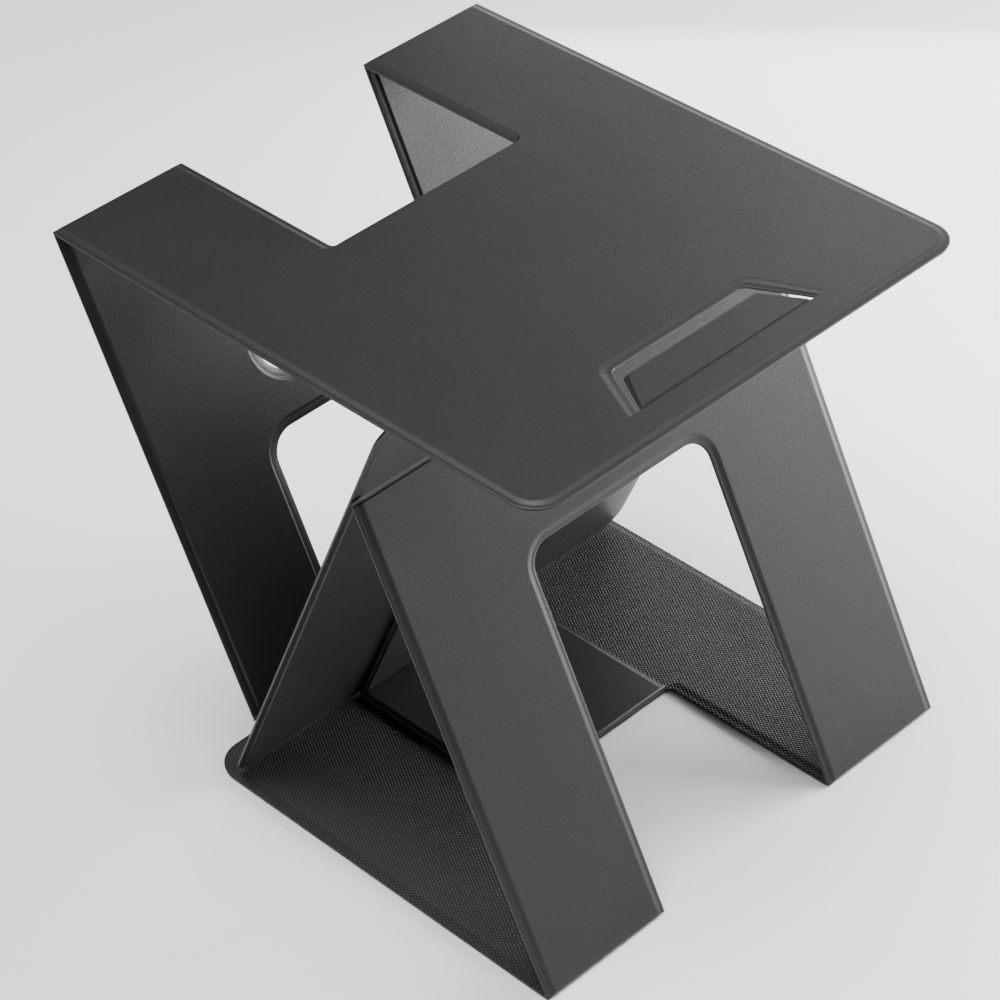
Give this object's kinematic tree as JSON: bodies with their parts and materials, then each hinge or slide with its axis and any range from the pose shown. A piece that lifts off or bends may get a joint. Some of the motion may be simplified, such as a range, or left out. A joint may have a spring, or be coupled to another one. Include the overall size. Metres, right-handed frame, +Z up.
{
  "type": "laptop stand",
  "caption": "Folding laptop stand of flat leather-covered boards hinged in a zigzag, with a notched top and a slotted front edge.",
  "frame": {"origin": "on the floor, at the middle of the stand's footprint from the top's back edge to its front edge", "axes": "+X to the user's right, -Y to the front where the user stands, +Z up"},
  "size_m": [0.236, 0.2726, 0.25],
  "materials": {
    "leather": "fine pebbled black synthetic leather, satin",
    "grip_leather": "black, embossed with small round studs in a triangular lattice",
    "board": "glass-fibre laminate",
    "steel": "rolled",
    "magnet": "nickel plated"
  },
  "bodies": {
    "base": {"base_board": "board", "base_grip_skin": "grip_leather", "base_lower_skin": "leather", "base_steel_strip": "steel", "base_tongue_board": "board", "base_tongue_upper_skin": "leather", "base_tongue_lower_skin": "leather", "base_tongue_magnets": "magnet", "base_tongue_fold": "leather", "front_fold_left": "leather", "front_fold_right": "leather"},
    "front_leg": {"front_leg_board": "board", "front_leg_outer_skin": "leather", "front_leg_inner_skin": "leather"},
    "brace": {"brace_board": "board", "brace_front_skin": "leather", "brace_back_skin": "leather", "brace_foot_magnets": "magnet", "brace_top_magnets": "magnet", "brace_front_fold": "leather", "brace_rear_fold_left": "leather", "brace_rear_fold_right": "leather", "front_plate_board": "board", "front_plate_front_skin": "leather", "front_plate_back_skin": "leather", "front_plate_magnets": "magnet", "back_plate_board": "board", "back_plate_front_skin": "leather", "back_plate_back_skin": "leather", "back_plate_magnets": "magnet"},
    "rear_leg": {"rear_leg_board": "board", "rear_leg_inner_skin": "leather", "rear_leg_outer_skin": "leather", "top_fold_left": "leather", "top_fold_right": "leather"},
    "top": {"top_board": "board", "top_upper_skin": "leather", "top_lower_skin": "leather", "top_steel_strip": "steel", "top_tongue_fold": "leather"},
    "top_tongue": {"top_tongue_board": "board", "top_tongue_upper_skin": "leather", "top_tongue_lower_skin": "leather", "top_tongue_magnets": "magnet"},
    "slot_flap": {"slot_flap_board": "board", "slot_flap_upper_skin": "leather", "slot_flap_lower_skin": "leather"}
  },
  "joints": [
    {"name": "front_fold", "type": "hinge", "parent": "base", "child": "front_leg", "pos_m": [0, -0.13095, 0], "axis": [1, 0, 0], "range_deg": [0, 114.5]},
    {"name": "front_apex", "type": "hinge", "parent": "front_leg", "child": "brace", "pos_m": [0, -0.03444, 0.1999], "axis": [-1, 0, 0], "range_deg": [0, 50.2]},
    {"name": "rear_apex", "type": "hinge", "parent": "brace", "child": "rear_leg", "pos_m": [0, 0.04036, 0.04774], "axis": [1, 0, 0], "range_deg": [0, 49.8]},
    {"name": "top_fold", "type": "hinge", "parent": "rear_leg", "child": "top", "pos_m": [0, 0.13625, 0.25], "axis": [-1, 0, 0], "range_deg": [0, 114.2]},
    {"name": "top_tongue_turn", "type": "hinge", "parent": "top", "child": "top_tongue", "pos_m": [0, 0.04265, 0.2474], "axis": [1, 0, 0], "range_deg": [0, 180]},
    {"name": "slot_flap_turn", "type": "hinge", "parent": "top", "child": "slot_flap", "pos_m": [0, -0.11935, 0.2474], "axis": [-1, 0, 0], "range_deg": [0, 90]}
  ],
  "couplings": [
    {"joint": "front_apex", "follows": "front_fold", "ratio": 0.43788},
    {"joint": "rear_apex", "follows": "front_fold", "ratio": 0.4344},
    {"joint": "top_fold", "follows": "front_fold", "ratio": 0.99652}
  ]
}
